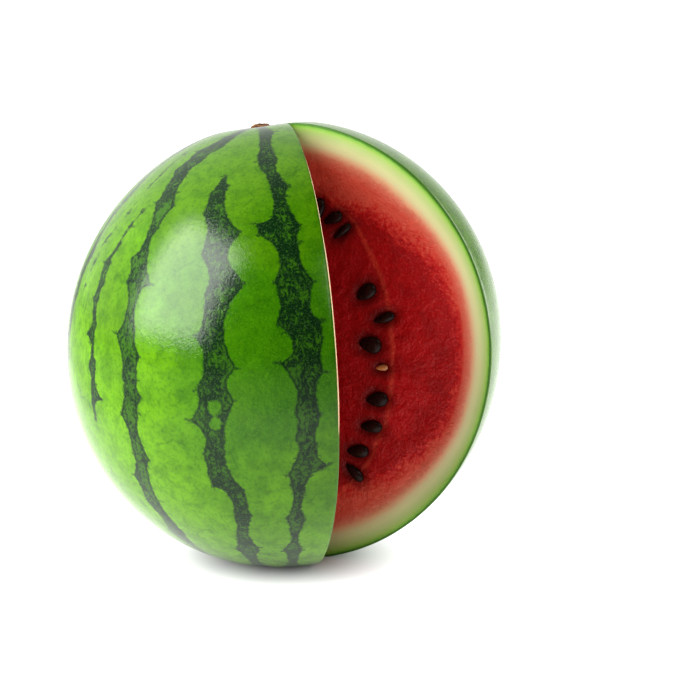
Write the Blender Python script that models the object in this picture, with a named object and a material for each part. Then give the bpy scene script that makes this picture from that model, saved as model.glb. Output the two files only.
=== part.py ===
"""Watermelon with a wedge cut out of it, standing on the small flat spot it rests on.

Metres, +Z up. The origin is on the flat spot, straight under the middle of the fruit.
The front is -Y. Turns about the fruit are counted from the front towards +X.
"""
import random
from math import cos, exp, radians, sin, sqrt

import bmesh
import bpy
from mathutils import Matrix, Vector

# The fruit: a ball slightly longer along one leaning axis, dimpled where the stem was
GIRTH_RADIUS = 0.107
LONG_RADIUS = 0.1117
LONG_AXIS = Vector((0.31, -0.22, 0.92)).normalized()
MIDDLE = Vector((0.0, 0.0, 0.1082))
STEM_AXIS = Vector((-0.104, 0.094, 1.0)).normalized()
DIMPLE_DEPTH = 0.0030
DIMPLE_SPREAD = radians(8.0)
SKIN_SEGMENTS = 56
SKIN_RINGS = 38
STEM_END_CROWDING = 0.35

# The wedge: two straight knife cuts that meet on a line near the core
CUT_EDGE = MIDDLE + Vector((0.0063, -0.0015, 0.0))
CUT_LEAN = radians(2.35)
NEAR_CUT = radians(10.2)
FAR_CUT = radians(66.5)
WEDGE_REACH = 0.2
WEDGE_HALF_HEIGHT = 0.15
REST_BLOCK_WIDTH = 0.3
REST_BLOCK_DEPTH = 0.05

# The corky stem end, turned from radii and heights over the bottom of the dimple. It broke
# off slanting: the slant is how much lower its front is and higher its back, as a share
STEM_TOP_RADIUS = 0.0046
STEM_PROFILE = ((0.0, -0.006), (0.0066, -0.006), (0.0058, 0.0002), (0.0050, 0.0009),
                (STEM_TOP_RADIUS, 0.0015), (0.0034, 0.0017), (0.0, 0.0013))
STEM_SLANT = 0.55
STEM_SEGMENTS = 14

# A seed: a flat drop, sunk in the flesh past its middle
SEED_HALF_LENGTH = 0.0058
SEED_HALF_WIDTH = 0.0037
SEED_HALF_THICKNESS = 0.0022
SEED_TAPER = 0.3
SEED_SUNK = 0.0008
SEED_SEGMENTS = 10
SEED_RINGS = 6

# Seeds that show on the far cut: reach from the cut edge and height from the middle in
# metres, turn of the long side from level in degrees, then the width and the length as
# shares of a whole seed. The last one stayed small
FAR_SEEDS_SEEN = (
    (0.0166, 0.0684, 78.0, 1.0, 1.0),
    (0.0226, 0.0632, 20.0, 0.8, 1.0),
    (0.0268, 0.0570, 38.0, 0.55, 1.0),
    (0.0376, 0.0276, 34.0, 0.95, 1.0),
    (0.0466, 0.0150, 18.0, 0.6, 1.0),
    (0.0387, 0.0015, -7.0, 1.1, 1.0),
    (0.0444, -0.0098, 5.0, 0.4, 0.55),
)

# The rest follow the same curved band of seeds, at these heights from the middle
FAR_SEED_HEIGHTS = (-0.026, -0.040, -0.053, -0.064)
NEAR_SEED_HEIGHTS = (0.067, 0.055, 0.039, 0.021, 0.008, -0.010, -0.027, -0.044, -0.060)
SEED_BAND_REACH = 0.044
SEED_BAND_HALF_HEIGHT = 0.078
SEED_STRAY = 0.004
SEED_TURN = 55.0
SEED_LEAST_WIDTH = 0.55
SEED_DRAW = 11

# Surface colours, linear, as seen on the fruit
RIND_GREEN = (0.13, 0.38, 0.02)
FLESH_RED = (0.62, 0.035, 0.02)
SEED_BLACK = (0.012, 0.006, 0.005)
STEM_BROWN = (0.20, 0.085, 0.03)


def clear_scene():
    for obj in list(bpy.data.objects):
        bpy.data.objects.remove(obj, do_unlink=True)


def make_material(name, colour, roughness):
    material = bpy.data.materials.new(name)
    material.use_nodes = True
    shader = material.node_tree.nodes["Principled BSDF"]
    shader.inputs["Base Color"].default_value = (*colour, 1.0)
    shader.inputs["Roughness"].default_value = roughness
    shader.inputs["Metallic"].default_value = 0.0
    return material


def add_object(name, bm, material, place=None):
    """Turn a bmesh into an object in the scene, with its place worked into the mesh."""
    if place is not None:
        bm.transform(place)
    bmesh.ops.recalc_face_normals(bm, faces=bm.faces[:])
    mesh = bpy.data.meshes.new(name)
    bm.to_mesh(mesh)
    bm.free()
    mesh.materials.append(material)
    obj = bpy.data.objects.new(name, mesh)
    bpy.context.scene.collection.objects.link(obj)
    return obj


def mark_cutter(obj):
    obj.hide_render = True
    obj.display_type = "WIRE"


def boolean(target, operation, cutter=None, collection=None):
    """Apply one Boolean to the target, then remove what it was made with."""
    modifier = target.modifiers.new(operation.lower(), "BOOLEAN")
    modifier.operation = operation
    modifier.solver = "EXACT"
    modifier.material_mode = "TRANSFER"
    if collection is None:
        modifier.object = cutter
        used = [cutter]
    else:
        modifier.operand_type = "COLLECTION"
        modifier.collection = collection
        used = list(collection.objects)
    depsgraph = bpy.context.evaluated_depsgraph_get()
    result = bpy.data.meshes.new_from_object(target.evaluated_get(depsgraph))
    target.modifiers.clear()
    target.data = result
    for obj in used:
        bpy.data.objects.remove(obj, do_unlink=True)


def skin_radius(direction):
    """Distance from the middle of the fruit to its skin, along a unit direction."""
    along = direction.dot(LONG_AXIS)
    ball = 1.0 / sqrt((1.0 - along**2) / GIRTH_RADIUS**2 + along**2 / LONG_RADIUS**2)
    from_stem = direction.angle(STEM_AXIS, 0.0)
    return ball - DIMPLE_DEPTH * exp(-((from_stem / DIMPLE_SPREAD) ** 2))


def make_fruit(rind):
    """The whole fruit, with its rings crowded towards the stem so that the dimple is round."""
    bm = bmesh.new()
    bmesh.ops.create_uvsphere(bm, u_segments=SKIN_SEGMENTS, v_segments=SKIN_RINGS, radius=1.0)
    up = Vector((0.0, 0.0, 1.0))
    to_stem = up.rotation_difference(STEM_AXIS)
    for vert in bm.verts:
        turn = vert.co.angle(up)
        crowded = turn - STEM_END_CROWDING * sin(turn)
        level = Vector((vert.co.x, vert.co.y, 0.0))
        if level.length > 1e-6:
            level.normalize()
        direction = to_stem @ (level * sin(crowded) + up * cos(crowded))
        vert.co = MIDDLE + direction * skin_radius(direction)
    return add_object("watermelon", bm, rind)


def make_rest_block(rind):
    """A block below the resting surface, which cuts the small flat spot."""
    bm = bmesh.new()
    bmesh.ops.create_cube(bm, size=1.0)
    size = Matrix.Diagonal((REST_BLOCK_WIDTH, REST_BLOCK_WIDTH, REST_BLOCK_DEPTH, 1.0))
    place = Matrix.Translation((0.0, 0.0, -REST_BLOCK_DEPTH / 2)) @ size
    block = add_object("rest_block", bm, rind, place)
    mark_cutter(block)
    return block


def cut_frame():
    """Frame on the line where the two cuts meet: Z up along it, -Y to the front."""
    return Matrix.Translation(CUT_EDGE) @ Matrix.Rotation(-CUT_LEAN, 4, "Y")


def make_wedge(flesh):
    """The wedge between the two cuts, taller and deeper than the fruit."""
    bm = bmesh.new()
    outline = [Vector((0.0, 0.0, -WEDGE_HALF_HEIGHT))]
    for turn in (NEAR_CUT, FAR_CUT):
        outline.append(Vector((sin(turn) * WEDGE_REACH, -cos(turn) * WEDGE_REACH, -WEDGE_HALF_HEIGHT)))
    base = bm.faces.new([bm.verts.new(point) for point in outline])
    grown = bmesh.ops.extrude_face_region(bm, geom=[base])
    top = [item for item in grown["geom"] if isinstance(item, bmesh.types.BMVert)]
    bmesh.ops.translate(bm, verts=top, vec=(0.0, 0.0, 2 * WEDGE_HALF_HEIGHT))
    wedge = add_object("wedge", bm, flesh, cut_frame())
    mark_cutter(wedge)
    return wedge


def make_stem_end(cork):
    """The dry, corky stump in the dimple, spun round the stem's axis."""
    bm = bmesh.new()
    points = [bm.verts.new((radius, 0.0, height)) for radius, height in STEM_PROFILE]
    edges = [bm.edges.new(pair) for pair in zip(points, points[1:])]
    bmesh.ops.spin(bm, geom=points + edges, cent=(0.0, 0.0, 0.0), axis=(0.0, 0.0, 1.0),
                   angle=radians(360.0), steps=STEM_SEGMENTS, use_merge=True)
    bmesh.ops.remove_doubles(bm, verts=bm.verts[:], dist=1e-6)
    for vert in bm.verts:
        if vert.co.z > 0.0:
            vert.co.z *= 1.0 + STEM_SLANT * vert.co.y / STEM_TOP_RADIUS
    foot = MIDDLE + STEM_AXIS * skin_radius(STEM_AXIS)
    turn = Vector((0.0, 0.0, 1.0)).rotation_difference(STEM_AXIS).to_matrix().to_4x4()
    return add_object("stem_end", bm, cork, Matrix.Translation(foot) @ turn)


def make_seed(black, cut_turn, facing, seed):
    """One seed, flat against a cut face. Facing is the side of the cut that is open."""
    reach, height, turn, width, length = seed
    bm = bmesh.new()
    bmesh.ops.create_uvsphere(bm, u_segments=SEED_SEGMENTS, v_segments=SEED_RINGS, radius=1.0)
    for vert in bm.verts:
        taper = 1.0 - SEED_TAPER * vert.co.y
        vert.co.x *= SEED_HALF_THICKNESS * length
        vert.co.z *= SEED_HALF_WIDTH * width * taper
        vert.co.y *= SEED_HALF_LENGTH * length
    on_face = Matrix.Translation((-facing * SEED_SUNK, -reach, height))
    roll = Matrix.Rotation(radians(-turn), 4, "X")
    face = cut_frame() @ Matrix.Rotation(cut_turn, 4, "Z")
    return add_object("seed", bm, black, face @ on_face @ roll)


def band_seeds(heights, draw):
    """Seeds along the curved band that the flesh holds them in, each a little astray."""
    seeds = []
    for height in heights:
        reach = SEED_BAND_REACH * sqrt(1.0 - (height / SEED_BAND_HALF_HEIGHT) ** 2)
        reach += draw.uniform(-SEED_STRAY, SEED_STRAY)
        turn = draw.uniform(-SEED_TURN, SEED_TURN)
        width = draw.uniform(SEED_LEAST_WIDTH, 1.0)
        seeds.append((reach, height, turn, width, 1.0))
    return seeds


def make_watermelon():
    rind = make_material("rind", RIND_GREEN, 0.4)
    flesh = make_material("flesh", FLESH_RED, 0.45)
    black = make_material("seed", SEED_BLACK, 0.2)
    cork = make_material("stem_cork", STEM_BROWN, 0.9)

    fruit = make_fruit(rind)
    boolean(fruit, "DIFFERENCE", cutter=make_rest_block(rind))
    boolean(fruit, "DIFFERENCE", cutter=make_wedge(flesh))

    draw = random.Random(SEED_DRAW)
    far_seeds = list(FAR_SEEDS_SEEN) + band_seeds(FAR_SEED_HEIGHTS, draw)
    grown_in = [make_stem_end(cork)]
    for seed in far_seeds:
        grown_in.append(make_seed(black, FAR_CUT, -1.0, seed))
    for seed in band_seeds(NEAR_SEED_HEIGHTS, draw):
        grown_in.append(make_seed(black, NEAR_CUT, 1.0, seed))
    together = bpy.data.collections.new("grown_in")
    for piece in grown_in:
        together.objects.link(piece)
    boolean(fruit, "UNION", collection=together)
    bpy.data.collections.remove(together)

    fruit.data.shade_smooth()
    fruit.data.set_sharp_from_angle(angle=radians(35.0))


clear_scene()
make_watermelon()
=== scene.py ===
"""A striped watermelon with a wedge cut out of it, on a pale floor in soft studio light."""
import random
from math import cos, exp, pi, radians, sin, sqrt

import bmesh
import bpy
import numpy as np
from mathutils import Matrix, Vector, noise


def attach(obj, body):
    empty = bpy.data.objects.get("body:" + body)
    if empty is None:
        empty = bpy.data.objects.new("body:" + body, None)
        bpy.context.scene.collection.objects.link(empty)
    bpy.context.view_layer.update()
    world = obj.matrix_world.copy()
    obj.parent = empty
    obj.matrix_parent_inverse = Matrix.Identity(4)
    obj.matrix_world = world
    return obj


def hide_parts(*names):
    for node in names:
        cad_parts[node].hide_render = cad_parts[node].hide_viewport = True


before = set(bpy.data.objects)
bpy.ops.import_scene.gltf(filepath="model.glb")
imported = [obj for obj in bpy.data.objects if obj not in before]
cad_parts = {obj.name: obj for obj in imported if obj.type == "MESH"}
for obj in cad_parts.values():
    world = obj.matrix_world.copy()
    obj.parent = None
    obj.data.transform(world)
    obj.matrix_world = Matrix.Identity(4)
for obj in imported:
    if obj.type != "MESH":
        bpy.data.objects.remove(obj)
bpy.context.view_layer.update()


# The fruit's body
# A ripe round melon, grown as one piece a little longer than it is wide. The dry stem came
# away from a shallow dimple on top, and the fruit has settled on a small flat spot.
GIRTH_RADIUS = 0.107
LONG_RADIUS = 0.1117
LONG_AXIS = Vector((0.31, -0.22, 0.92)).normalized()
MIDDLE = Vector((0.0, 0.0, 0.1082))
STEM_AXIS = Vector((-0.104, 0.094, 1.0)).normalized()
BLOSSOM_AXIS = Vector((-0.004, 0.20, -0.98)).normalized()
DIMPLE_DEPTH = 0.0030
DIMPLE_SPREAD = radians(8.0)


def skin_distance(ways):
    """How far the skin lies from the middle of the fruit, along unit ways out of it."""
    along = ways @ np.array(LONG_AXIS)
    ball = 1.0 / np.sqrt((1.0 - along**2) / GIRTH_RADIUS**2 + along**2 / LONG_RADIUS**2)
    from_stem = np.arccos(np.clip(ways @ np.array(STEM_AXIS), -1.0, 1.0))
    return ball - DIMPLE_DEPTH * np.exp(-((from_stem / DIMPLE_SPREAD) ** 2))


# The two knife cuts
# A long knife went in twice from stem to blossom. The cuts are flat and meet on a line just
# off the core, and the skin is very slightly turned over where the blade broke it.
CUT_EDGE = MIDDLE + Vector((0.0063, -0.0015, 0.0))
CUT_TILT = Matrix.Rotation(-radians(2.35), 3, "Y")
NEAR_CUT = radians(10.2)
FAR_CUT = radians(66.5)
EDGE_ROUND = 0.0007
FACE_STEPS = 64
ARC_STEPS = 190
ROUND_STEPS = 330
SKIN_SLOT = 0
CUT_SLOT = 1

edge_share = EDGE_ROUND / GIRTH_RADIUS
spread = bmesh.new()


def only(kind, geom):
    return [item for item in geom if isinstance(item, kind)]


def turn_about_core(verts, angle):
    turned_by = Matrix.Rotation(angle, 3, "Z")
    bmesh.ops.rotate(spread, verts=verts, cent=(0.0, 0.0, 0.0), matrix=turned_by)


# One cut face is a line from the core to the rim, spun through half a turn
line_shares = np.linspace(0.0, 1.0 - edge_share, FACE_STEPS + 1)
line = [spread.verts.new((0.0, 0.0, share)) for share in line_shares]
spokes = [spread.edges.new(pair) for pair in zip(line, line[1:])]
bmesh.ops.spin(spread, geom=line + spokes, cent=(0.0, 0.0, 0.0), axis=(1.0, 0.0, 0.0),
               angle=pi, steps=ARC_STEPS, use_merge=False)
near_face = spread.verts[:] + spread.edges[:] + spread.faces[:]
far_face = bmesh.ops.duplicate(spread, geom=near_face)["geom"]
turn_about_core(only(bmesh.types.BMVert, near_face), NEAR_CUT)
turn_about_core(only(bmesh.types.BMVert, far_face), FAR_CUT)

# The skin is a sheet wrapped round the back, from the far cut to the near one
skin_sheet = bmesh.ops.create_grid(spread, x_segments=ROUND_STEPS, y_segments=ARC_STEPS, size=1.0)
first_turn = FAR_CUT + edge_share
whole_turn = 2.0 * pi - FAR_CUT + NEAR_CUT - 2.0 * edge_share
sides = {-1.0: [], 1.0: []}
for vert in skin_sheet["verts"]:
    if abs(vert.co.x) > 1.0 - 1e-5:
        sides[round(vert.co.x)].append(vert)
    round_core = first_turn + (0.5 + 0.5 * vert.co.x) * whole_turn
    from_top = (0.5 - 0.5 * vert.co.y) * pi
    vert.co = (sin(from_top) * sin(round_core), -sin(from_top) * cos(round_core), cos(from_top))

# Each side of the sheet is turned over the edge, down to the rim of its cut
for side, column in sides.items():
    inside_column = set(column)
    border = [edge for edge in spread.edges if inside_column.issuperset(edge.verts)]
    turned = bmesh.ops.extrude_edge_only(spread, edges=border)["geom"]
    turned = only(bmesh.types.BMVert, turned)
    bmesh.ops.scale(spread, verts=turned, vec=[1.0 - edge_share] * 3)
    turn_about_core(turned, side * edge_share)
bmesh.ops.remove_doubles(spread, verts=spread.verts[:], dist=1e-5)
bmesh.ops.recalc_face_normals(spread, faces=spread.faces[:])

inside_rim = 1.0 - edge_share / 2
for face in spread.faces:
    face.smooth = True
    nearest = min(vert.co.length for vert in face.verts)
    face.material_index = SKIN_SLOT if nearest > inside_rim else CUT_SLOT

# Each point goes out from the core to its share of the way to the skin or the resting spot.
# A few rounds close in on the skin, because the cuts don't meet in the fruit's middle
ROUNDS_TO_SKIN = 12
POINTS_DOWN = -0.1
NO_SHARE = 1e-9

flat = np.array([vert.co for vert in spread.verts])
share = np.linalg.norm(flat, axis=1)
ways = flat / np.maximum(share, NO_SHARE)[:, None]
ways[share < NO_SHARE] = (0.0, 0.0, 1.0)
ways = ways @ np.array(CUT_TILT).T
start = np.array(CUT_EDGE)
middle = np.array(MIDDLE)
to_skin = np.full(len(ways), GIRTH_RADIUS)
for _ in range(ROUNDS_TO_SKIN):
    out = start + ways * to_skin[:, None] - middle
    length = np.linalg.norm(out, axis=1)
    to_skin += skin_distance(out / length[:, None]) - length
down = ways[:, 2] < POINTS_DOWN
to_floor = np.full(len(ways), 1.0)
to_floor[down] = -start[2] / ways[down, 2]
points = start + ways * (share * np.minimum(to_skin, to_floor))[:, None]

# Where each point lies: how deep under the skin, how far from the core, and on which cut.
# A pale highlight is painted along the near cut's edge, except low down
FACE_ROOM = 0.3
AT_CORE = 1e-4
EDGE_HIGHLIGHT_BAND = 1.5
EDGE_HIGHLIGHT_ABOVE = -0.045
EDGE_HIGHLIGHT_FADE = 0.03

out = points - middle
length = np.linalg.norm(out, axis=1)
skin_depth = np.maximum(skin_distance(out / length[:, None]) - length, 0.0)
skin_depth[share > inside_rim] = 0.0
in_cut = (points - start) @ np.array(CUT_TILT)
reach = np.linalg.norm(in_cut[:, :2], axis=1)
height = in_cut[:, 2]
turn = np.arctan2(in_cut[:, 0], -in_cut[:, 1])
at_rim = share > 1.0 - EDGE_HIGHLIGHT_BAND * edge_share
near_edge = at_rim & (np.abs(turn - NEAR_CUT) < EDGE_HIGHLIGHT_BAND * edge_share)
painted_edge_highlight = np.where(near_edge, np.clip((height - EDGE_HIGHLIGHT_ABOVE) / EDGE_HIGHLIGHT_FADE, 0.0, 1.0), 0.0)
on_a_cut = (share < inside_rim) & (reach > AT_CORE)
on_near = on_a_cut & (np.abs(turn - NEAR_CUT) < FACE_ROOM)
on_far = on_a_cut & (np.abs(turn - FAR_CUT) < FACE_ROOM)


# The seeds' places
# Seeds hang in the flesh on a curved band round the core. The knife bared some on each cut:
# those seen on the far cut are placed one by one, and the rest follow the band.
SEED_HALF_LENGTH = 0.0058
SEED_HALF_WIDTH = 0.0037
SEED_HALF_THICKNESS = 0.0022
SEED_TAPER = 0.3
SEED_SUNK = 0.0008
SEED_BAND_REACH = 0.044
SEED_BAND_HALF_HEIGHT = 0.078
SEED_STRAY = 0.004
SEED_TURN = 55.0
SEED_LEAST_WIDTH = 0.55
SEED_DRAW = 11

# Reach from the core and height from the middle in metres, turn of the long side from level
# in degrees, then the width and the length as shares of a whole seed
FAR_SEEDS_SEEN = (
    (0.0142, 0.0680, 78.0, 0.85, 1.0),
    (0.0218, 0.0638, 24.0, 0.70, 0.9),
    (0.0264, 0.0575, 38.0, 0.50, 1.0),
    (0.0376, 0.0276, 34.0, 0.95, 1.0),
    (0.0466, 0.0150, 18.0, 0.6, 1.0),
    (0.0387, 0.0015, -7.0, 1.1, 1.0),
    (0.0444, -0.0098, 5.0, 0.4, 0.55),
)
FAR_SEED_HEIGHTS = (-0.026, -0.040, -0.053, -0.064)
NEAR_SEED_HEIGHTS = (0.067, 0.055, 0.039, 0.021, 0.008, -0.010, -0.027, -0.044, -0.060)

draw = random.Random(SEED_DRAW)


def band_seeds(heights):
    """Seeds along the curved band, each a little astray: reach, height, turn, width, length."""
    seeds = []
    for seed_height in heights:
        seed_reach = SEED_BAND_REACH * sqrt(1.0 - (seed_height / SEED_BAND_HALF_HEIGHT) ** 2)
        seed_reach += draw.uniform(-SEED_STRAY, SEED_STRAY)
        seed_turn = draw.uniform(-SEED_TURN, SEED_TURN)
        seeds.append((seed_reach, seed_height, seed_turn, draw.uniform(SEED_LEAST_WIDTH, 1.0), 1.0))
    return seeds


far_seeds = list(FAR_SEEDS_SEEN) + band_seeds(FAR_SEED_HEIGHTS)
near_seeds = band_seeds(NEAR_SEED_HEIGHTS)


# The cut surface
# Wet flesh torn a little by the blade: it waves, stands in small grains and has sunk below
# the firm pale rind, and each bared seed lies in its own socket.
RIND_THICKNESS = 0.0145
FLESH_BEGINS_BEFORE = 0.003
FLESH_EASES_IN = 0.005
FLESH_SUNK = 0.0005
WAVE_HEIGHT = 0.0007
WAVE_SIZE = 0.022
GRAIN_HEIGHT = 0.0005
GRAIN_SIZE = 0.0035
SOCKET_DEPTH = 0.0012
SOCKET_ROOM = 0.0012
STAIN_ROOM = 0.0042
SEED_IS_FAR = 0.014
HELD_AT_CORE = 0.004
HELD_AT_SKIN = 0.002


def in_socket(seeds, at_reach, at_height, room):
    """How near one place on a cut is to a seed, with this room round it: 1 in it, 0 well away."""
    deepest = 0.0
    for seed_reach, seed_height, seed_turn, width, seed_length in seeds:
        across = at_reach - seed_reach
        up = at_height - seed_height
        if abs(across) < SEED_IS_FAR and abs(up) < SEED_IS_FAR:
            tilt = radians(seed_turn)
            long_way = (across * cos(tilt) + up * sin(tilt)) / (SEED_HALF_LENGTH * seed_length + room)
            wide_way = (up * cos(tilt) - across * sin(tilt)) / (SEED_HALF_WIDTH * width + room)
            deepest = max(deepest, exp(-((long_way**2 + wide_way**2) ** 2)))
    return deepest


near_seed = np.zeros(len(points))
cut_faces = ((on_near, near_seeds, NEAR_CUT, 1.0), (on_far, far_seeds, FAR_CUT, -1.0))
for on_face, seeds, face_turn, facing in cut_faces:
    normal = np.array(CUT_TILT @ Vector((facing * cos(face_turn), facing * sin(face_turn), 0.0)))
    for i in np.flatnonzero(on_face):
        place = Vector(points[i])
        flesh = (skin_depth[i] - RIND_THICKNESS + FLESH_BEGINS_BEFORE) / FLESH_EASES_IN
        flesh = min(max(flesh, 0.0), 1.0)
        push = WAVE_HEIGHT * noise.noise(place / WAVE_SIZE)
        push += GRAIN_HEIGHT * flesh * noise.noise(place / GRAIN_SIZE)
        push -= FLESH_SUNK * flesh
        push -= SOCKET_DEPTH * in_socket(seeds, reach[i], height[i], SOCKET_ROOM)
        near_seed[i] = in_socket(seeds, reach[i], height[i], STAIN_ROOM)
        held = min(reach[i] / HELD_AT_CORE, 1.0) * min(skin_depth[i] / HELD_AT_SKIN, 1.0)
        points[i] += normal * push * held

for vert, point in zip(spread.verts, points):
    vert.co = point


# The stripes
# Dark stripes grew from the stem to the blossom end. The light skin swells in round lobes
# between them, so that each stripe's edge is a row of arcs that meet in outward cusps.
MM = 0.001
LATITUDE_MM = 1.9
STRIPE_BOW = 0.12
BOW_LIMIT = 0.62
ARC_POINTS = np.linspace(0.0, 1.0, 9)

# A stripe's line is (latitude, turn) in degrees; its cusps are (latitude, millimetres out),
# and some add how round the lobe below them is, as the arc's bow over its chord. An island of
# light skin is (latitude, millimetres aside, radius), and netted is (latitude, share)
broad_stripe = dict(
    line=((80, 3), (55, 4.7), (43, 6.5), (35, 7.5), (1, 7.8), (-10, 7.2), (-19, 5.3), (-31, 4.3),
          (-80, 3.5)),
    left=((80, -3), (75, -2.5), (59, -6.5), (42, -5.5), (41, -14), (38, -14, 0.25), (27, -10),
          (18, -11.5), (16, -7.5, 0.44), (10, -12, 0.17), (-1, -6.5), (-7, -6), (-12, -5),
          (-16, -6.5), (-29, -5, 0.2), (-44, -5.5), (-60, -5), (-80, -4)),
    right=((80, 3), (73, 5.5), (59, 4), (52, 4), (50, 6.5), (47, 3.5), (39, 7), (35, 3.5), (26, 8),
           (20, 5), (18, 9), (14, 9.5), (7, 8.5), (5, 5), (-2, 6.5), (-9, 4.5), (-12, 6.5),
           (-14, 13), (-15, 9.5), (-17, 4), (-30, 4.5), (-44, 4), (-60, 5), (-80, 4)),
    islands=(),
    netted=((70, -0.3), (45, 0.0), (20, 0.25), (5, 0.7), (-8, 0.9), (-60, 0.8)),
)
pointed_stripe = dict(
    line=((56, -15), (47, -14.3), (38, -12.6), (29, -11.5), (19, -12.5), (0, -12.2), (-16, -13.2),
          (-24, -9.7), (-32, -10.2), (-80, -12)),
    left=((60, 4), (55.5, 0.4), (50, -5), (45, -7.5), (34, -8), (25, -5.5), (16, -8, 0.16),
          (4, -9, 0.17), (-3, -13, 0.31), (-11, -7), (-20, -8.5), (-20.5, -3), (-44, -6), (-60, -5),
          (-80, -4)),
    right=((60, -4), (55.5, 1.5), (52, 4.5), (48, 3.5), (39, 11.5, 0.36), (27, 13.5, 0.22),
           (9, 10.5, 0.26), (2, 9, 0.16), (-20, 8), (-29, 6), (-42, 6), (-60, 5), (-80, 4)),
    islands=((0.5, -0.5, 3.1), (-3.4, -0.3, 2.1)),
    netted=((50, 0.15), (20, 0.35), (0, 0.5), (-60, 0.55)),
)
slim_stripe = dict(
    line=((80, -20), (72, -27), (65, -37), (58, -39), (50, -38.5), (43, -37), (36, -36.5), (18, -35.5),
          (4, -34.7), (-17, -35), (-30, -34.5), (-38, -33), (-80, -36)),
    left=((80, -3), (74, -5), (67, -7), (59, -6), (48, -4.5), (36, -3), (33, -8), (27, -6.5),
          (19, -4), (15, -10), (6, -5), (-4, -8.5, 0.2), (-14, -3.5), (-21, -9), (-29, -8.5),
          (-41, -9), (-60, -6), (-80, -4)),
    right=((80, 3), (68, 7), (63, 7), (56, 6), (51, 6.5), (47, 9.5), (41, 4.5), (37, 2.5),
           (27, 9.5), (25, 3.5), (17, 3.5), (10, 8), (5, 4.5), (1, 7.5), (-3, 4.5), (-15, 7),
           (-19, 3), (-28, 2.5), (-39, 2.5), (-60, 4), (-80, 4)),
    islands=(),
    netted=((60, 0.15), (50, 0.7), (30, 0.9), (20, 0.6), (0, 0.6), (-20, 0.85), (-60, 0.9)),
)
thread_stripe = dict(
    line=((50, -45), (45, -46.5), (41, -48.7), (36, -50), (31, -52), (22, -51.8), (16, -50.8),
          (4, -49.2), (-8, -50.4), (-14, -50)),
    left=((52, 3), (46, -0.4), (41, -1.5), (36, -1.5), (31, -4), (26, -2.5), (22, -4), (15, -3),
          (13, -7), (11, -2), (6, -4), (-4, -2.5), (-8, -1), (-14, 3)),
    right=((52, -3), (46, 0.6), (41, 2), (36, 2), (31, 3.5), (26, 4.5), (22, 2.5), (16, 3.5),
           (7, 3.2), (1, 3.3), (-2, 8.5), (-4, 1.6), (-8, 1), (-14, -3)),
    islands=(),
    netted=((40, 0.4), (-16, 0.4)),
)
broken_strand = dict(
    line=((68, -55), (57, -54), (45, -55), (36, -61), (24, -62), (12, -60)),
    left=((70, 3), (66, -0.8), (57, -1.2), (45, -0.3), (36, -0.8), (24, -0.2), (12, 3)),
    right=((70, -3), (66, 0.8), (57, 1.2), (45, 0.3), (36, 0.8), (24, 0.2), (12, -3)),
    islands=(),
    netted=((68, 0.8), (12, 0.8)),
)

# The stripes out of the front view keep the same rule: a turn, then a width in millimetres.
# Their cusps come at uneven steps, and they are narrower towards both ends
REST_OF_STRIPES = ((-71, 7), (-88, 15), (-106, 7), (-127, 14), (-150, 17), (-168, 9), (171, 15),
                   (149, 12), (128, 17), (107, 8), (88, 12))
STRIPE_DRAW = 5
STEM_TIP = (84.0, 2.0)
FIRST_CUSP = 68.0
LAST_CUSP = -70.0
BLOSSOM_TIP = (-80.0, 2.5)
CUSP_OUT = (-0.8, 3.2)
CUSP_STEP = (7.0, 19.0)
NARROWEST = 0.55
LINE_LATITUDES = (60, 40, 20, 0, -20, -40, -60)
LINE_STRAY = 1.6
WIDTH_PER_ISLAND = 4
ISLAND_LATITUDES = (-45, 55)
ISLAND_ASIDE = 1.5
ISLAND_RADIUS = (1.4, 2.8)
NETTED_LATITUDES = (60, 20, -20, -60)
NETTED_SHARE = (0.2, 0.9)

draw_stripe = random.Random(STRIPE_DRAW)


def cusps(side, width):
    """A row of cusps down one side of a stripe, from the stem end to the blossom end."""
    row = [(STEM_TIP[0], side * STEM_TIP[1])]
    latitude = FIRST_CUSP
    while latitude > LAST_CUSP:
        half = width / 2 * (NARROWEST + (1.0 - NARROWEST) * cos(radians(latitude)))
        row.append((latitude, side * (half + draw_stripe.uniform(*CUSP_OUT))))
        latitude -= draw_stripe.uniform(*CUSP_STEP)
    row.append((BLOSSOM_TIP[0], side * BLOSSOM_TIP[1]))
    return tuple(row)


def drawn_stripe(start_turn, width):
    """A whole stripe of this width that strays a little from one turn."""
    line = [(80.0, start_turn)]
    for latitude in LINE_LATITUDES:
        line.append((latitude, start_turn + draw_stripe.uniform(-LINE_STRAY, LINE_STRAY)))
    line.append((-80.0, start_turn))
    islands = []
    for _ in range(int(width / WIDTH_PER_ISLAND)):
        latitude = draw_stripe.uniform(*ISLAND_LATITUDES)
        island_aside = draw_stripe.uniform(-ISLAND_ASIDE, ISLAND_ASIDE)
        islands.append((latitude, island_aside, draw_stripe.uniform(*ISLAND_RADIUS)))
    netted = [(latitude, draw_stripe.uniform(*NETTED_SHARE)) for latitude in NETTED_LATITUDES]
    left = cusps(-1.0, width)
    right = cusps(1.0, width)
    return dict(line=line, left=left, right=right, islands=islands, netted=netted)


stripes = [broad_stripe, pointed_stripe, slim_stripe, thread_stripe, broken_strand]
for start_turn, width in REST_OF_STRIPES:
    stripes.append(drawn_stripe(start_turn, width))


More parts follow.
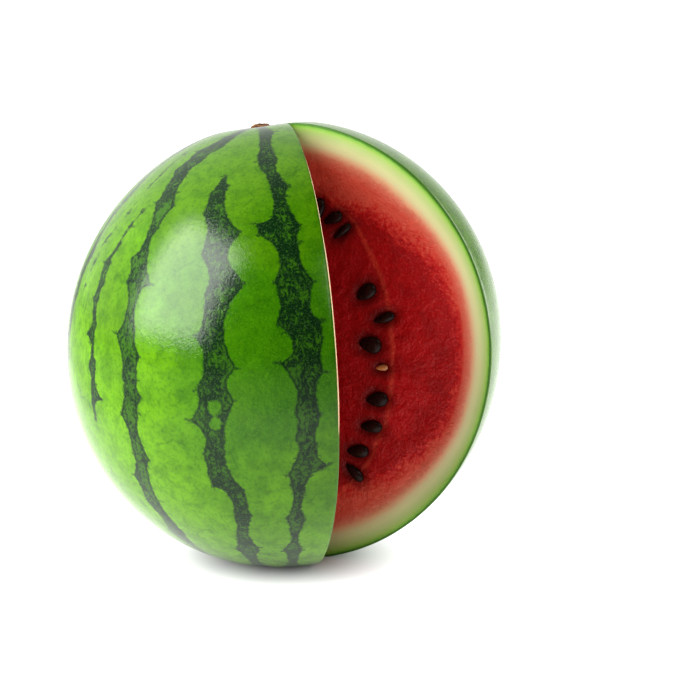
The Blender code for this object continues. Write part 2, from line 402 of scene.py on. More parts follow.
def edge_line(row, latitudes, side):
    """One side of a stripe: arcs from cusp to cusp that bow in towards the stripe's line."""
    marks = sorted(row)
    arc_latitudes = []
    arc_outs = []
    for (low, low_out, *_), (high, high_out, *roundness) in zip(marks, marks[1:]):
        rise = (high - low) * LATITUDE_MM
        chord = sqrt(rise**2 + (high_out - low_out) ** 2)
        bow = roundness[0] if roundness else STRIPE_BOW
        bow = min(bow * chord, BOW_LIMIT * min(abs(low_out), abs(high_out)))
        bowed = bow * 4.0 * ARC_POINTS * (1.0 - ARC_POINTS)
        slope = (high_out - low_out) / chord
        arc_latitudes.extend(low + (high - low) * ARC_POINTS + side * bowed * slope / LATITUDE_MM)
        arc_outs.extend(low_out + (high_out - low_out) * ARC_POINTS - side * bowed * rise / chord)
    order = np.maximum.accumulate(arc_latitudes)
    return np.interp(latitudes, order, arc_outs)


# Latitude and turn follow circles through the stem and the blossom end, which is off centre
pole_up = STEM_AXIS
pole_front = (Vector((0.0, -1.0, 0.0)) + pole_up * pole_up.y).normalized()
pole_side = pole_up.cross(pole_front)


def plane_place(ways):
    """The fruit's surface laid out on a plane, with the stem endlessly far away."""
    from_stem = np.arccos(np.clip(ways @ np.array(pole_up), -1.0, 1.0))
    round_stem = np.arctan2(ways @ np.array(pole_side), ways @ np.array(pole_front))
    return np.exp(-1j * round_stem) / np.tan(np.maximum(from_stem, 1e-4) / 2.0)


out = points - middle
length = np.linalg.norm(out, axis=1)
at = plane_place(out / length[:, None])
blossom_at = plane_place(np.array(BLOSSOM_AXIS)[None, :])[0]
opened = 1.0 / (at - blossom_at + 1e-9)
stripe_turn = np.degrees(np.angle(opened))
stripe_latitude = 90.0 - 2.0 * np.degrees(np.arctan(np.abs(opened)))
stretch = np.abs(opened) / (1.0 + np.abs(1.0 / at) ** 2) / np.abs(1.0 + blossom_at * opened) ** 2
mm_per_turn = radians(1.0) * 2.0 * length * stretch / MM

# A thin dark vein runs on out of each cusp, between two lobes, and curls round one of them
VEIN_REACH = (-4.0, 5.0)
SHORTEST_VEIN = 1.0
VEIN_CURL = (-0.06, 0.06)
VEIN_ROOM = 2.6
VEIN_ROOTED = -2.5
ISLAND_SOFTNESS = 0.8
NO_STRIPE = -99.0
NO_VEIN = 9.0

inside_stripe = np.full(len(points), NO_STRIPE)
netted = np.zeros(len(points))
vein_across = np.full(len(points), NO_VEIN)
vein_strength = np.zeros(len(points))


def along_stripe(row):
    """A stripe's (latitude, value) pairs, read at every point's latitude."""
    marks = sorted(row)
    return np.interp(stripe_latitude, [mark[0] for mark in marks], [mark[1] for mark in marks])


for stripe in stripes:
    aside = (stripe_turn - along_stripe(stripe["line"]) + 180.0) % 360.0 - 180.0
    aside = aside * mm_per_turn
    left = edge_line(stripe["left"], stripe_latitude, -1.0)
    right = edge_line(stripe["right"], stripe_latitude, 1.0)
    inside = np.minimum(aside - left, right - aside)
    for latitude, island_aside, radius in stripe["islands"]:
        apart = np.hypot((stripe_latitude - latitude) * LATITUDE_MM, aside - island_aside)
        inside = np.minimum(inside, (apart - radius) * ISLAND_SOFTNESS)
    closer = inside > inside_stripe
    inside_stripe[closer] = inside[closer]
    netted[closer] = along_stripe(stripe["netted"])[closer]
    for side, row in ((-1.0, stripe["left"]), (1.0, stripe["right"])):
        for latitude, cusp_out, *_ in row[1:-1]:
            vein_length = max(draw_stripe.uniform(*VEIN_REACH), SHORTEST_VEIN)
            run_out = side * (aside - cusp_out)
            curl = draw_stripe.uniform(*VEIN_CURL) * np.clip(run_out, 0.0, None) ** 2
            apart = (stripe_latitude - latitude) * LATITUDE_MM - curl
            taper = np.clip(1.0 - run_out / vein_length, 0.0, 1.0) * (run_out > VEIN_ROOTED)
            strength = taper * np.clip(1.0 - np.abs(apart) / VEIN_ROOM, 0.0, 1.0)
            stronger = strength > vein_strength
            vein_strength[stronger] = strength[stronger]
            vein_across[stronger] = apart[stronger]

fruit_mesh = bpy.data.meshes.new("cut_watermelon")
spread.to_mesh(fruit_mesh)
spread.free()
fruit = bpy.data.objects.new("cut_watermelon", fruit_mesh)
bpy.context.scene.collection.objects.link(fruit)

# What the finishes read at each point. The rind is thickest at both ends, so the depth that
# colours the cut is stretched between them; the seeds' pale line and the heart are ovals
PALE_LINE_REACH = 0.0505
PALE_LINE_HALF_HEIGHT = 0.081
HEART_REACH = 0.088
HEART_HALF_HEIGHT = 0.076
THICK_RIND_BEYOND = 0.072
THICK_RIND_EASES = 0.035
THIN_RIND_STRETCH = 0.4

line_oval = np.sqrt(np.maximum(1.0 - (height / PALE_LINE_HALF_HEIGHT) ** 2, 0.0))
past_pale_line = reach - PALE_LINE_REACH * line_oval
heart = (reach / HEART_REACH) ** 2 + (height / HEART_HALF_HEIGHT) ** 2
thin_rind = np.clip((THICK_RIND_BEYOND - np.abs(height)) / THICK_RIND_EASES, 0.0, 1.0)
skin_depth *= 1.0 + THIN_RIND_STRETCH * thin_rind
layers = dict(inside_stripe=inside_stripe, netted=netted, vein_across=vein_across,
              vein_strength=vein_strength, skin_depth=skin_depth / MM, painted_edge_highlight=painted_edge_highlight,
              past_pale_line=past_pale_line / MM, heart=heart, near_seed=near_seed)
for name, values in layers.items():
    layer = fruit_mesh.attributes.new(name, "FLOAT", "POINT")
    layer.data.foreach_set("value", values.astype(np.float32))


# The skin's finish
# Hard waxy skin, light green and finely mottled, with darker stripes that are dark along
# their edges and netted with paler green inside. The wax gives a broad soft shine.
def add(tree, kind, inputs, **settings):
    """Add one shader node, with its settings, and values or links on its inputs."""
    made = tree.nodes.new("ShaderNode" + kind)
    for name, value in settings.items():
        setattr(made, name, value)
    for name, value in inputs.items():
        if isinstance(value, bpy.types.NodeSocket):
            tree.links.new(value, made.inputs[name])
        else:
            made.inputs[name].default_value = value
    return made


def new_material(name):
    """A new material, with its node tree, its shader and the object's own coordinates."""
    material = bpy.data.materials.new(name)
    material.use_nodes = True
    tree = material.node_tree
    place = add(tree, "TexCoord", {}).outputs["Object"]
    return material, tree, tree.nodes["Principled BSDF"], place


def grain(tree, place, size, detail=3.0, roughness=0.55):
    """Cloudy noise whose clouds are about this size in metres."""
    settings = {"Vector": place, "Scale": 1.0 / size, "Detail": detail, "Roughness": roughness}
    return add(tree, "TexNoise", settings).outputs["Fac"]


def sum_of(tree, first, second, factor=1.0):
    """The first, plus the second times the factor."""
    made = add(tree, "Math", {0: second, 1: factor, 2: first}, operation="MULTIPLY_ADD")
    return made.outputs[0]


def about_zero(tree, noise_made):
    """A noise that runs from 0 to 1, moved to lie on both sides of zero."""
    return sum_of(tree, noise_made, -0.5, 1.0)


def product(tree, first, second):
    return add(tree, "Math", {0: first, 1: second}, operation="MULTIPLY").outputs[0]


def fade(tree, value, low, high):
    """A smooth step from 0 at low to 1 at high."""
    limits = {"Value": value, "From Min": low, "From Max": high}
    return add(tree, "MapRange", limits, interpolation_type="SMOOTHSTEP").outputs["Result"]


def fade_share(tree, value, low, high, share):
    """The same smooth step, up to this share."""
    return product(tree, fade(tree, value, low, high), share)


def blend(tree, share, first, second):
    """One colour over another, by a share from 0 to 1."""
    made = tree.nodes.new("ShaderNodeMix")
    made.data_type = "RGBA"
    for index, value in ((0, share), (6, first), (7, second)):
        if isinstance(value, bpy.types.NodeSocket):
            tree.links.new(value, made.inputs[index])
        else:
            made.inputs[index].default_value = value if index == 0 else (*value, 1.0)
    return made.outputs[2]


def attribute(tree, name):
    return add(tree, "Attribute", {}, attribute_name=name).outputs["Fac"]


def colour_steps(tree, value, steps):
    """A ramp through (position, colour) steps."""
    made = add(tree, "ValToRGB", {"Fac": value})
    ramp = made.color_ramp
    ramp.elements[0].position = steps[0][0]
    ramp.elements[0].color = (*steps[0][1], 1.0)
    ramp.elements[1].position = steps[-1][0]
    ramp.elements[1].color = (*steps[-1][1], 1.0)
    for position, colour in steps[1:-1]:
        ramp.elements.new(position).color = (*colour, 1.0)
    return made.outputs["Color"]


# The first green is painted shade, for the side that faces the front
PAINTED_SHADE_GREEN = (0.034, 0.128, 0.0005)
LIGHT_GREEN = (0.068, 0.168, 0.001)
# The third green is painted light from below, for the lower left side
PAINTED_BOUNCE_GREEN = (0.110, 0.270, 0.001)
DEEP_GREEN = (0.012, 0.068, 0.0005)
PALE_GREEN = (0.100, 0.220, 0.010)
STRIPE_GREEN = (0.003, 0.018, 0.004)
STRIPE_SPECK = (0.028, 0.065, 0.020)
STRIPE_CELL = (0.032, 0.100, 0.005)
PAINTED_SHADE_SIDE = Vector((0.0, -0.99, -0.08)).normalized()
PAINTED_BOUNCE_SIDE = Vector((-0.62, -0.05, -0.78)).normalized()
CLOUD_SIZE = 0.045
PATCH_SIZE = 0.007
SPECK_SIZE = 0.0017
DUST_SIZE = 0.0007
BEND_SCALE = 160.0
BEND_SHIFT = (0.006, 0.006, 0.006)
CRACK_CELL = 0.024
CRACK_CLUMP = 0.012
NET_CELL = 0.0013
NET_STREAK = 0.0070
NET_STRETCH = (1.0, 1.0, 0.6)
WAX_ROUGHNESS = 0.12
WAX_UNEVEN = 0.10
WAX_SHINE = 0.28
PORE_DEPTH = 0.0004

skin, tree, shader, place = new_material("striped_skin")
cloud = grain(tree, place, CLOUD_SIZE)
patch = grain(tree, place, PATCH_SIZE)
speck = grain(tree, place, SPECK_SIZE)
dust = grain(tree, place, DUST_SIZE, 2.0)
from_middle = add(tree, "VectorMath", {0: place, 1: MIDDLE}, operation="SUBTRACT").outputs[0]


def toward(tree, way):
    """How far, in metres, each point lies from the fruit's middle to one side."""
    made = add(tree, "VectorMath", {0: from_middle, 1: way}, operation="DOT_PRODUCT")
    return made.outputs["Value"]


# Painted light: the lower left is painted a lighter yellow-green, as light bounced up from below
painted_bounce = sum_of(tree, cloud, toward(tree, PAINTED_BOUNCE_SIDE), 4.0)
# Painted shade: the side towards the front is painted a deeper green
painted_shade = sum_of(tree, cloud, toward(tree, PAINTED_SHADE_SIDE), 8.0)
light = blend(tree, fade(tree, painted_shade, 0.90, 1.30), LIGHT_GREEN, PAINTED_SHADE_GREEN)
light = blend(tree, fade(tree, painted_bounce, 0.45, 0.92), light, PAINTED_BOUNCE_GREEN)
light = blend(tree, fade_share(tree, patch, 0.38, 0.72, 0.42), light, DEEP_GREEN)
light = blend(tree, fade_share(tree, speck, 0.42, 0.75, 0.45), light, DEEP_GREEN)
light = blend(tree, fade_share(tree, dust, 0.48, 0.72, 0.35), light, PALE_GREEN)

# Fine branching veins under the wax
bend = add(tree, "TexNoise", {"Vector": place, "Scale": BEND_SCALE, "Detail": 2.0})
bent = add(tree, "VectorMath", {0: bend.outputs["Color"], 1: BEND_SHIFT, 2: place},
           operation="MULTIPLY_ADD").outputs[0]
cells = add(tree, "TexVoronoi", {"Vector": bent, "Scale": 1.0 / CRACK_CELL},
            feature="DISTANCE_TO_EDGE")
crack = fade(tree, cells.outputs["Distance"], 0.040, 0.0)
crack = product(tree, crack, fade(tree, grain(tree, place, CRACK_CLUMP), 0.50, 0.62))
light = blend(tree, product(tree, crack, 0.35), light, DEEP_GREEN)

# The darker veins that run out of the cusps
wobble = sum_of(tree, about_zero(tree, patch), about_zero(tree, speck), 0.8)
vein = sum_of(tree, attribute(tree, "vein_across"), wobble, 5.0)
vein = add(tree, "Math", {0: vein}, operation="ABSOLUTE").outputs[0]
strength = attribute(tree, "vein_strength")
vein = sum_of(tree, vein, strength, -1.3)
vein = product(tree, fade(tree, vein, 0.35, -0.55), fade(tree, strength, 0.03, 0.50))

# A stripe's edge is ragged
ragged = sum_of(tree, attribute(tree, "inside_stripe"), about_zero(tree, patch), 3.6)
ragged = sum_of(tree, ragged, about_zero(tree, speck), 2.0)
striped = fade(tree, ragged, -0.75, 0.75)
veined = product(tree, vein, 0.7)
in_stripe = add(tree, "Math", {0: striped, 1: veined}, operation="MAXIMUM").outputs[0]

# Inside a stripe the dark green is specked, and parts of it open into a net of pale cells
streaks = add(tree, "Mapping", {"Vector": bent, "Scale": NET_STRETCH}).outputs["Vector"]
cell = grain(tree, streaks, NET_CELL, 2.0, 0.6)
streak = grain(tree, streaks, NET_STREAK, 2.0)
opened = sum_of(tree, about_zero(tree, streak), attribute(tree, "netted"), 0.12)
opened = sum_of(tree, cell, opened, 0.8)
opened = product(tree, fade(tree, opened, 0.47, 0.76), fade(tree, ragged, 0.3, 2.0))
dark = blend(tree, fade(tree, dust, 0.50, 0.72), STRIPE_GREEN, STRIPE_SPECK)
dark = blend(tree, product(tree, opened, 0.90), dark, STRIPE_CELL)
tree.links.new(blend(tree, in_stripe, light, dark), shader.inputs["Base Color"])
tree.links.new(sum_of(tree, WAX_ROUGHNESS, speck, WAX_UNEVEN), shader.inputs["Roughness"])
shader.inputs["Specular IOR Level"].default_value = WAX_SHINE
pitted = sum_of(tree, speck, dust, 0.7)
pores = add(tree, "Bump", {"Height": pitted, "Strength": 0.20, "Distance": PORE_DEPTH})
tree.links.new(pores.outputs["Normal"], shader.inputs["Normal"])
fruit_mesh.materials.append(skin)


# The cut's finish
# Across the cut the colour runs from the dark line of the skin through firm green and pale
# rind to juicy red flesh, paler and more grainy near the rind, deep red towards the core.
CUT_DEPTH_SHOWN = 25.0
HEART_SHOWN = 2.0

# Colours by the depth under the skin in millimetres, then by the share of the way to the rind
CUT_COLOURS = (
    (0.0, (0.035, 0.110, 0.008)),
    (0.9, (0.060, 0.170, 0.014)),
    (1.4, (0.160, 0.340, 0.040)),
    (2.8, (0.290, 0.430, 0.110)),
    (5.2, (0.390, 0.460, 0.200)),
    (7.6, (0.485, 0.507, 0.252)),
    (10.0, (0.520, 0.478, 0.267)),
    (12.4, (0.573, 0.350, 0.205)),
    (14.8, (0.550, 0.190, 0.120)),
    (17.2, (0.530, 0.120, 0.078)),
    (21.0, (0.530, 0.083, 0.053)),
)
HEART_COLOURS = (
    (0.60, (0.430, 0.006, 0.009)),
    (0.86, (0.325, 0.0045, 0.007)),
    (0.93, (0.420, 0.011, 0.012)),
    (0.98, (0.470, 0.025, 0.020)),
    (1.04, (0.510, 0.054, 0.036)),
    (1.12, (0.530, 0.083, 0.053)),
)
# The pale colour of the painted highlight along the near cut's edge
EDGE_HIGHLIGHT_PALE = (0.640, 0.430, 0.250)
# A paler red for the flesh's grain with a painted sparkle, and a dark red for painted shade towards
# the core
GRAIN_AND_SPARKLE_RED = (0.700, 0.120, 0.085)
PAINTED_CORE_SHADE = (0.260, 0.004, 0.007)
SEED_ZONE = (0.270, 0.007, 0.009)
PALE_LINE = (0.700, 0.120, 0.060)
SEED_STAIN = (0.090, 0.006, 0.005)
FIBRE_SIZE = 0.0022
CLUMP_SIZE = 0.012
JUICE_CELL = 0.0011
CUT_ROUGHNESS = 0.50
FLESH_SMOOTHER = -0.12
WET_SHINE = 0.25
LIGHT_SINKS_IN = (0.004, 0.0012, 0.0008)
TORN_DEPTH = 0.0006

cut, tree, shader, place = new_material("cut_rind_and_flesh")
depth = attribute(tree, "skin_depth")
fibre = grain(tree, place, FIBRE_SIZE)
clump = grain(tree, place, CLUMP_SIZE)
cells = grain(tree, place, JUICE_CELL, 2.0)
in_flesh = fade(tree, depth, 11.0, 17.0)
wander = product(tree, about_zero(tree, fibre), sum_of(tree, 0.6, in_flesh, 3.0))
deep = product(tree, sum_of(tree, depth, wander, 1.0), 1.0 / CUT_DEPTH_SHOWN)
steps = [(position / CUT_DEPTH_SHOWN, colour) for position, colour in CUT_COLOURS]
surface = colour_steps(tree, deep, steps)
toward_heart = sum_of(tree, attribute(tree, "heart"), about_zero(tree, fibre), 0.42)
toward_heart = sum_of(tree, toward_heart, about_zero(tree, clump), 0.30)
steps = [(position / HEART_SHOWN, colour) for position, colour in HEART_COLOURS]
heart = colour_steps(tree, product(tree, toward_heart, 1.0 / HEART_SHOWN), steps)
surface = blend(tree, fade(tree, deep, 0.72, 0.84), surface, heart)
in_heart = fade(tree, toward_heart, 1.0, 0.88)

# Juicy grains are painted paler, partly the flesh's own grain and partly a painted sparkle on the
# juice, and the flesh is painted darker in patches towards the core as painted shade deep in the cut
grain_and_sparkle = product(tree, fade(tree, cells, 0.52, 0.72), in_flesh)
surface = blend(tree, product(tree, grain_and_sparkle, 0.22), surface, GRAIN_AND_SPARKLE_RED)
# Painted shade: darker patches in the flesh towards the core
painted_core_shade = product(tree, fade(tree, clump, 0.48, 0.66), in_heart)
surface = blend(tree, product(tree, painted_core_shade, 0.45), surface, PAINTED_CORE_SHADE)

# A pale line bounds the darker zone where the seeds hang
past = sum_of(tree, attribute(tree, "past_pale_line"), about_zero(tree, clump), 5.0)
past = sum_of(tree, past, about_zero(tree, fibre), 2.0)
seed_zone = product(tree, fade(tree, past, 1.0, -2.5), in_heart)
surface = blend(tree, product(tree, seed_zone, 0.40), surface, SEED_ZONE)
past = add(tree, "Math", {0: past}, operation="ABSOLUTE").outputs[0]
line = product(tree, fade(tree, past, 2.4, 0.0), in_flesh)
surface = blend(tree, product(tree, line, 0.36), surface, PALE_LINE)
surface = blend(tree, product(tree, attribute(tree, "near_seed"), 0.70), surface, SEED_STAIN)
# Painted highlight: the near cut's edge is painted pale
edge_highlight = fade(tree, attribute(tree, "painted_edge_highlight"), 0.70, 0.97)
surface = blend(tree, edge_highlight, surface, EDGE_HIGHLIGHT_PALE)
tree.links.new(surface, shader.inputs["Base Color"])

tree.links.new(sum_of(tree, CUT_ROUGHNESS, in_flesh, FLESH_SMOOTHER), shader.inputs["Roughness"])
shader.inputs["Specular IOR Level"].default_value = WET_SHINE
shader.inputs["Subsurface Weight"].default_value = 0.15
shader.inputs["Subsurface Radius"].default_value = LIGHT_SINKS_IN
shader.inputs["Subsurface Scale"].default_value = 1.0
rough = sum_of(tree, cells, fibre, 2.0)
torn_more = sum_of(tree, 0.06, in_flesh, 0.44)
uneven = add(tree, "Bump", {"Height": rough, "Strength": torn_more, "Distance": TORN_DEPTH})
tree.links.new(uneven.outputs["Normal"], shader.inputs["Normal"])
fruit_mesh.materials.append(cut)

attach(fruit, "root")
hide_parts("watermelon")


# The seeds
# Hard flat drops with a narrow end where each hung from the flesh, shiny with juice. Ripe
# ones are nearly black, and one beside the core stayed small, soft and pale.
UNRIPE_SEED = 6
SEED_SEGMENTS = 24
SEED_RINGS = 16
SEED_SLIMMER = 0.9
RIDGE_HEIGHT = 0.18
RIDGE_WIDTH = 0.35


def add_seed(seeds_mesh, face_turn, facing, seed):
    """One seed, flat against its cut, in a mesh that holds its whole row."""
    seed_reach, seed_height, seed_turn, width, seed_length = seed
    grown = bmesh.ops.create_uvsphere(seeds_mesh, u_segments=SEED_SEGMENTS,
                                      v_segments=SEED_RINGS, radius=1.0)["verts"]
    for vert in grown:
        narrow = 1.0 - SEED_TAPER * vert.co.y
        rim = 1.0 - RIDGE_HEIGHT * exp(-((vert.co.x / RIDGE_WIDTH) ** 2))
        vert.co.z *= SEED_HALF_WIDTH * width * narrow
        vert.co.y *= SEED_HALF_LENGTH * seed_length
        vert.co.x *= SEED_HALF_THICKNESS * seed_length / rim * SEED_SLIMMER
    on_face = Matrix.Translation((-facing * SEED_SUNK, -seed_reach, seed_height))
    roll = Matrix.Rotation(radians(-seed_turn), 4, "X")
    face = Matrix.Translation(CUT_EDGE) @ CUT_TILT.to_4x4() @ Matrix.Rotation(face_turn, 4, "Z")
    bmesh.ops.transform(seeds_mesh, matrix=face @ on_face @ roll, verts=grown)


def finish_piece(name, mesh_in_work, material):
    """Make the piece's object at the origin, smooth, and give it to the fruit."""
    bmesh.ops.recalc_face_normals(mesh_in_work, faces=mesh_in_work.faces[:])
    mesh = bpy.data.meshes.new(name)
    mesh_in_work.to_mesh(mesh)
    mesh_in_work.free()
    mesh.shade_smooth()
    mesh.materials.append(material)
    piece = bpy.data.objects.new(name, mesh)
    bpy.context.scene.collection.objects.link(piece)
    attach(piece, "root")
    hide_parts("watermelon")


SEED_BLACK = (0.004, 0.002, 0.002)
SEED_BROWN = (0.030, 0.012, 0.008)
UNRIPE_BROWN = (0.32, 0.10, 0.03)
UNRIPE_CREAM = (0.62, 0.36, 0.14)
SEED_MOTTLE = 0.002
SEED_GRAIN = 0.001

black, tree, shader, place = new_material("ripe_seed")
mottled = blend(tree, grain(tree, place, SEED_MOTTLE), SEED_BLACK, SEED_BROWN)
tree.links.new(mottled, shader.inputs["Base Color"])
tree.links.new(sum_of(tree, 0.16, grain(tree, place, SEED_GRAIN), 0.25), shader.inputs["Roughness"])
shader.inputs["Specular IOR Level"].default_value = 0.18

pale, tree, shader, place = new_material("unripe_seed")
mottled = blend(tree, grain(tree, place, SEED_MOTTLE), UNRIPE_BROWN, UNRIPE_CREAM)
tree.links.new(mottled, shader.inputs["Base Color"])
shader.inputs["Roughness"].default_value = 0.35
shader.inputs["Subsurface Weight"].default_value = 0.2
shader.inputs["Subsurface Radius"].default_value = (0.002, 0.001, 0.0006)
shader.inputs["Subsurface Scale"].default_value = 1.0

dark_seeds = bmesh.new()
pale_seed = bmesh.new()
for number, seed in enumerate(far_seeds):
    add_seed(pale_seed if number == UNRIPE_SEED else dark_seeds, FAR_CUT, -1.0, seed)
for seed in near_seeds:
    add_seed(dark_seeds, NEAR_CUT, 1.0, seed)
finish_piece("ripe_seeds", dark_seeds, black)
finish_piece("unripe_seed", pale_seed, pale)


# The stem end
# A dry corky stump, left in the dimple where the stem broke off. Its top is torn and its
# side is furrowed, and it has grown fast to the skin.
STEM_TOP_RADIUS = 0.0046
STEM_PROFILE = ((0.0, -0.006), (0.0066, -0.006), (0.0062, -0.002), (0.0058, 0.0002),
                (0.0050, 0.0009), (0.0048, 0.0012), (STEM_TOP_RADIUS, 0.0015), (0.0042, 0.0017),
                (0.0034, 0.0017), (0.0018, 0.0014), (0.0, 0.0013))
STEM_SEGMENTS = 72
STEM_SLANT = 0.55
STEM_SUNK = 0.0005
STUMP_AXIS = Vector((-0.104, 0.066, 1.0)).normalized()
ROOT_BELOW = -0.004
STEM_FURROWS = 9
FURROW_DEPTH = 0.05
LUMP_SHARE = 0.05
LUMP_SIZE = 0.0014
TORN_FROM_HEIGHT = 0.001
TORN_HEIGHT = 0.0004
TORN_SIZE = 0.0011

stump = bmesh.new()
ring = [stump.verts.new((radius, 0.0, rise)) for radius, rise in STEM_PROFILE]
runs = [stump.edges.new(pair) for pair in zip(ring, ring[1:])]
bmesh.ops.subdivide_edges(stump, edges=runs, cuts=2)
bmesh.ops.spin(stump, geom=stump.verts[:] + stump.edges[:], cent=(0.0, 0.0, 0.0),
               axis=(0.0, 0.0, 1.0), angle=2.0 * pi, steps=STEM_SEGMENTS, use_merge=True)
bmesh.ops.remove_doubles(stump, verts=stump.verts[:], dist=1e-6)
foot = np.array(STUMP_AXIS)[None, :]
stem_foot = MIDDLE + STUMP_AXIS * (float(skin_distance(foot)[0]) - STEM_SUNK)
stem_turn = Vector((0.0, 0.0, 1.0)).rotation_difference(STUMP_AXIS).to_matrix().to_4x4()
for vert in stump.verts:
    if vert.co.z > ROOT_BELOW:
        round_stem = np.arctan2(vert.co.y, vert.co.x)
        furrow = 1.0 - FURROW_DEPTH * (0.5 + 0.5 * sin(STEM_FURROWS * round_stem)) ** 2
        lump = noise.noise(vert.co / LUMP_SIZE)
        vert.co.x *= furrow * (1.0 + LUMP_SHARE * lump)
        vert.co.y *= furrow * (1.0 + LUMP_SHARE * lump)
        torn_top = min(max(vert.co.z / TORN_FROM_HEIGHT, 0.0), 1.0)
        vert.co.z *= 1.0 + STEM_SLANT * vert.co.y / STEM_TOP_RADIUS * torn_top
        vert.co.z += TORN_HEIGHT * noise.noise(vert.co / TORN_SIZE) * torn_top
bmesh.ops.transform(stump, matrix=Matrix.Translation(stem_foot) @ stem_turn, verts=stump.verts[:])

CORK_FLECK = 0.0013
CORK_CRACK_DEPTH = 0.0005
CORK_COLOURS = (
    (0.40, (0.012, 0.006, 0.003)),
    (0.49, (0.070, 0.028, 0.008)),
    (0.56, (0.170, 0.066, 0.014)),
    (0.66, (0.420, 0.210, 0.055)),
)

cork, tree, shader, place = new_material("stem_cork")
fleck = grain(tree, place, CORK_FLECK, 3.0, 0.6)
tree.links.new(colour_steps(tree, fleck, CORK_COLOURS), shader.inputs["Base Color"])
shader.inputs["Roughness"].default_value = 0.9
cracked = add(tree, "Bump", {"Height": fleck, "Strength": 0.8, "Distance": CORK_CRACK_DEPTH})
tree.links.new(cracked.outputs["Normal"], shader.inputs["Normal"])
finish_piece("stem_end", stump, cork)


# Floor, light and camera
# A wide white table, white even where no lamp reaches it because it glows with painted light,
# and a white wall behind. The table's glow is dimmed close round the fruit as a painted
# contact shadow. A bright soft box stands on the left, a weak one in front on the right and
# one beside the fruit on the right. The room in front is dark, and so is the table there and
# far aside.
FLOOR_HALF_WIDTH = 12.0
FLOOR_GLOW_FAR = 1.00
FLOOR_GLOW_ASIDE = 0.25
FLOOR_GLOW_FRONT = 0.08
FLOOR_GREY = (0.35, 0.35, 0.35, 1.0)
ASIDE_FADE = (-0.33, -0.20)
ASIDE_SLANT = 0.16
FRONT_FADE = (-0.42, -0.24)
PAINTED_SHADOW_UNDER_FRUIT = (0.012, 0.085)
WHITE = (1.0, 1.0, 1.0, 1.0)

floor_mesh = bmesh.new()
bmesh.ops.create_grid(floor_mesh, x_segments=1, y_segments=1, size=FLOOR_HALF_WIDTH)
mesh = bpy.data.meshes.new("floor")
floor_mesh.to_mesh(mesh)
floor_mesh.free()
floor = bpy.data.objects.new("floor", mesh)
bpy.context.scene.collection.objects.link(floor)
table, tree, shader, place = new_material("white_table")
shader.inputs["Base Color"].default_value = FLOOR_GREY
shader.inputs["Roughness"].default_value = 0.8
shader.inputs["Specular IOR Level"].default_value = 0.0
shader.inputs["Emission Color"].default_value = WHITE
from_fruit = add(tree, "VectorMath", {0: place}, operation="LENGTH").outputs["Value"]
on_floor = add(tree, "SeparateXYZ", {0: place})
lit_strip = sum_of(tree, on_floor.outputs["X"], on_floor.outputs["Y"], ASIDE_SLANT)
glow = fade(tree, lit_strip, *ASIDE_FADE)
glow = sum_of(tree, FLOOR_GLOW_ASIDE, glow, FLOOR_GLOW_FAR - FLOOR_GLOW_ASIDE)
behind_front = fade(tree, on_floor.outputs["Y"], *FRONT_FADE)
behind_front = sum_of(tree, FLOOR_GLOW_FRONT, behind_front, 1.0 - FLOOR_GLOW_FRONT)
glow = product(tree, glow, behind_front)
# Painted shadow: the table's glow is dimmed close round the fruit
glow = product(tree, fade(tree, from_fruit, *PAINTED_SHADOW_UNDER_FRUIT), glow)
tree.links.new(glow, shader.inputs["Emission Strength"])
mesh.materials.append(table)

WALL_BRIGHTNESS = 1.0
DARK_ROOM = 0.03
TO_WALL = Vector((-0.50, 0.80, 0.30)).normalized()
WALL_FADE = (0.08, 0.78)

world = bpy.data.worlds.new("studio")
bpy.context.scene.world = world
world.use_nodes = True
tree = world.node_tree
sky_way = add(tree, "TexCoord", {}).outputs["Generated"]
behind = add(tree, "VectorMath", {0: sky_way, 1: TO_WALL}, operation="DOT_PRODUCT")
brightness = fade(tree, behind.outputs["Value"], *WALL_FADE)
brightness = sum_of(tree, DARK_ROOM, brightness, WALL_BRIGHTNESS - DARK_ROOM)
seen = add(tree, "LightPath", {}).outputs["Is Camera Ray"]
brightness = add(tree, "Math", {0: brightness, 1: seen}, operation="MAXIMUM").outputs[0]
tree.links.new(brightness, tree.nodes["Background"].inputs["Strength"])
tree.nodes["Background"].inputs["Color"].default_value = WHITE

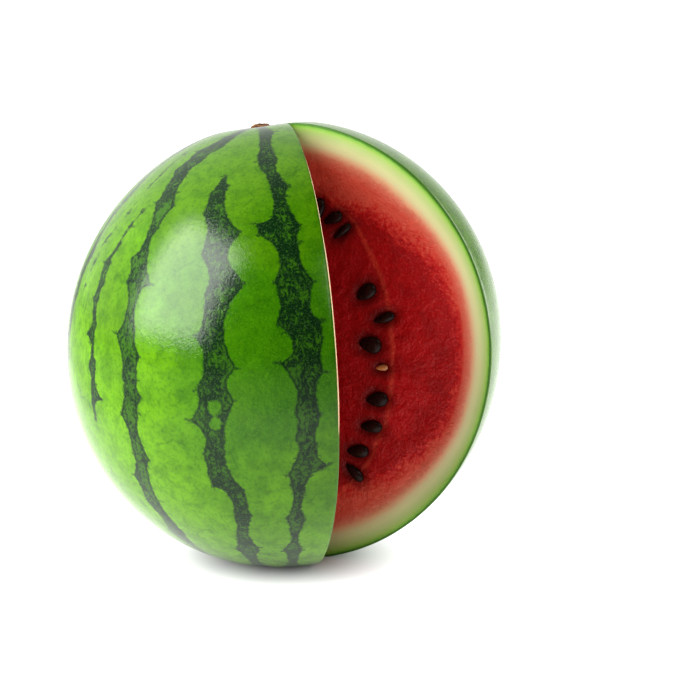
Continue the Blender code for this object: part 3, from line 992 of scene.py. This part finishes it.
# Each soft box: its way and its distance from the fruit, its width and height, its brightness
SOFT_BOXES = {
    "key_soft_box": ((-0.776, -0.378, 0.505), 1.2, 0.95, 1.05, 11.0),
    "fill_soft_box": ((0.66, -0.72, 0.66), 1.5, 0.7, 0.7, 2.9),
    "side_soft_box": ((0.92, 0.28, 0.30), 1.2, 1.1, 1.0, 5.0),
}


def add_soft_box(name, way, distance, width, height, brightness):
    """A soft box that faces the middle of the fruit, this many times as bright as the wall."""
    lamp = bpy.data.lights.new(name, "AREA")
    lamp.shape = "RECTANGLE"
    lamp.size = width
    lamp.size_y = height
    lamp.energy = brightness * pi * width * height
    box = bpy.data.objects.new(name, lamp)
    bpy.context.scene.collection.objects.link(box)
    way = Vector(way).normalized()
    box.location = MIDDLE + way * distance
    box.rotation_mode = "QUATERNION"
    box.rotation_quaternion = way.to_track_quat("Z", "Y")


for name, facts in SOFT_BOXES.items():
    add_soft_box(name, *facts)

PHOTO_PIXELS = 700.0
FOCAL_PIXELS = 2620.0
FRUIT_IN_PHOTO = (284.4, 343.8)
CAMERA_DISTANCE = 1.3
CAMERA_ELEVATION = radians(12.0)
SENSOR_WIDTH = 36.0

camera_data = bpy.data.cameras.new("camera")
camera = bpy.data.objects.new("camera", camera_data)
bpy.context.scene.collection.objects.link(camera)
camera_data.sensor_width = SENSOR_WIDTH
camera_data.lens = SENSOR_WIDTH * FOCAL_PIXELS / PHOTO_PIXELS
back = Vector((0.0, -cos(CAMERA_ELEVATION), sin(CAMERA_ELEVATION)))
camera.location = MIDDLE + back * CAMERA_DISTANCE
across = (PHOTO_PIXELS / 2 - FRUIT_IN_PHOTO[0]) / FOCAL_PIXELS
below = (FRUIT_IN_PHOTO[1] - PHOTO_PIXELS / 2) / FOCAL_PIXELS
level = back.to_track_quat("Z", "Y").to_matrix()
aim = level @ Vector((across, below, -1.0))
camera.rotation_mode = "QUATERNION"
camera.rotation_quaternion = (-aim).to_track_quat("Z", "Y")
bpy.context.scene.camera = camera
bpy.context.scene.view_settings.view_transform = "Standard"
bpy.context.scene.view_settings.look = "Medium High Contrast"
